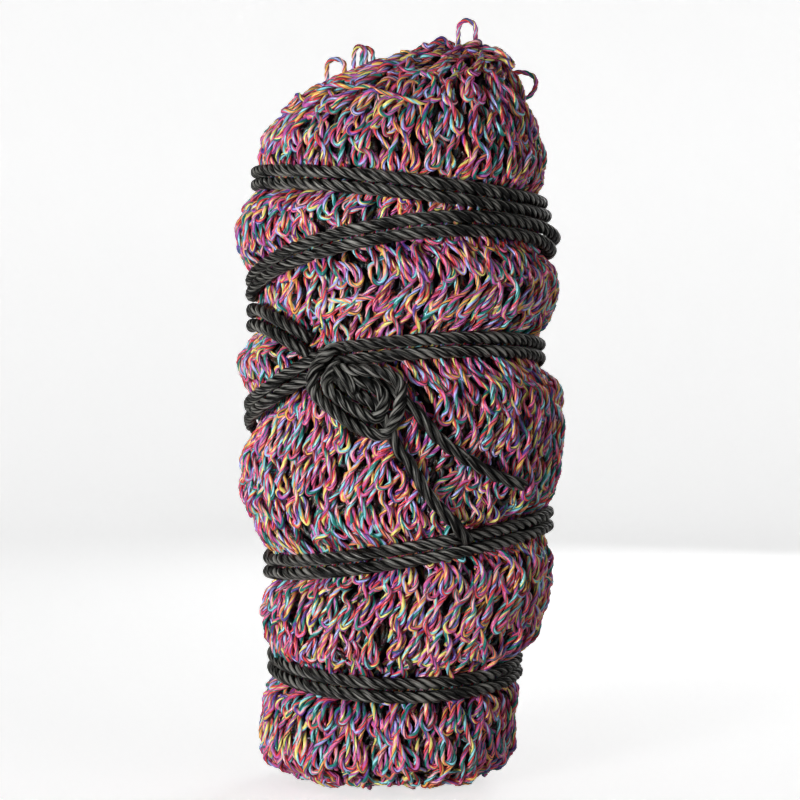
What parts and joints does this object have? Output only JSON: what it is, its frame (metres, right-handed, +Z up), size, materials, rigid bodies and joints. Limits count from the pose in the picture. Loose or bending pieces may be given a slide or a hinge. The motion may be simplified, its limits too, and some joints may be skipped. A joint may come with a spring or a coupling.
{
  "type": "hay net",
  "caption": "Knotted hay net folded into an upright pack and bound with its own doubled draw rope, tied in a slipped bow.",
  "frame": {"origin": "on the floor, at the middle of the pack's base fold", "axes": "+Z up along the pack, -Y towards the side with the bow, +X to the right as seen from that side"},
  "size_m": [0.157, 0.1432, 0.3726],
  "materials": {
    "net_twine": "loosely laid multi-colour polypropylene twine, soft gloss",
    "draw_rope": "three-strand black polypropylene rope, soft gloss"
  },
  "bodies": {
    "root": {"inner_fold_front": "net_twine", "inner_fold_middle": "net_twine", "inner_fold_back": "net_twine", "outer_fold_front": "net_twine", "outer_fold_back": "net_twine", "crown_fold": "net_twine", "base_fold": "net_twine", "end_gather_tie": "net_twine", "mouth_rope_ring": "draw_rope", "rope_lead_in": "draw_rope", "turn_1_front": "draw_rope", "turn_1_back": "draw_rope", "turn_2_front": "draw_rope", "turn_2_back": "draw_rope", "turn_3_front_right": "draw_rope", "turn_3_front_left": "draw_rope", "turn_3_back": "draw_rope", "turn_4_front": "draw_rope", "turn_4_back": "draw_rope", "turn_5_front": "draw_rope", "turn_5_back": "draw_rope", "rope_tie_in": "draw_rope", "bow_knot": "draw_rope", "tail_short": "draw_rope"},
    "bow": {"bow_loop_outer": "draw_rope", "bow_loop_inner": "draw_rope"},
    "long_tail": {"tail_long_root": "draw_rope"},
    "long_tail_end": {"tail_long_end": "draw_rope"},
    "left_loop": {"mesh_loop_left": "net_twine"},
    "double_loop": {"mesh_loop_double": "net_twine"},
    "peak_loop": {"mesh_loop_peak": "net_twine"},
    "right_loop": {"mesh_loop_right": "net_twine"}
  },
  "joints": [
    {"name": "bow_lift", "type": "hinge", "parent": "root", "child": "bow", "pos_m": [-0.024, -0.06492, 0.1985], "axis": [-0.6553, 0.1643, -0.7373], "range_deg": [0, 70]},
    {"name": "long_tail_lift", "type": "hinge", "parent": "root", "child": "long_tail", "pos_m": [0.007, -0.06955, 0.1815], "axis": [-0.7583, -0.0758, -0.6475], "range_deg": [0, 55]},
    {"name": "long_tail_bend", "type": "hinge", "parent": "long_tail", "child": "long_tail_end", "pos_m": [0.032, -0.06423, 0.1584], "axis": [-0.4124, -0.1535, -0.898], "range_deg": [0, 50]},
    {"name": "left_loop_flex", "type": "hinge", "parent": "root", "child": "left_loop", "pos_m": [-0.034, 0, 0.3434], "axis": [0.9374, 0, 0.3482], "range_deg": [-30, 30]},
    {"name": "double_loop_flex", "type": "hinge", "parent": "root", "child": "double_loop", "pos_m": [-0.0215, 0, 0.3476], "axis": [0.9724, 0, 0.2334], "range_deg": [-30, 30]},
    {"name": "peak_loop_flex", "type": "hinge", "parent": "root", "child": "peak_loop", "pos_m": [0.029, 0, 0.3589], "axis": [1, 0, 0], "range_deg": [-35, 35]},
    {"name": "right_loop_flex", "type": "hinge", "parent": "root", "child": "right_loop", "pos_m": [0.054, 0, 0.345], "axis": [0.3584, 0, -0.9336], "range_deg": [-30, 30]}
  ]
}
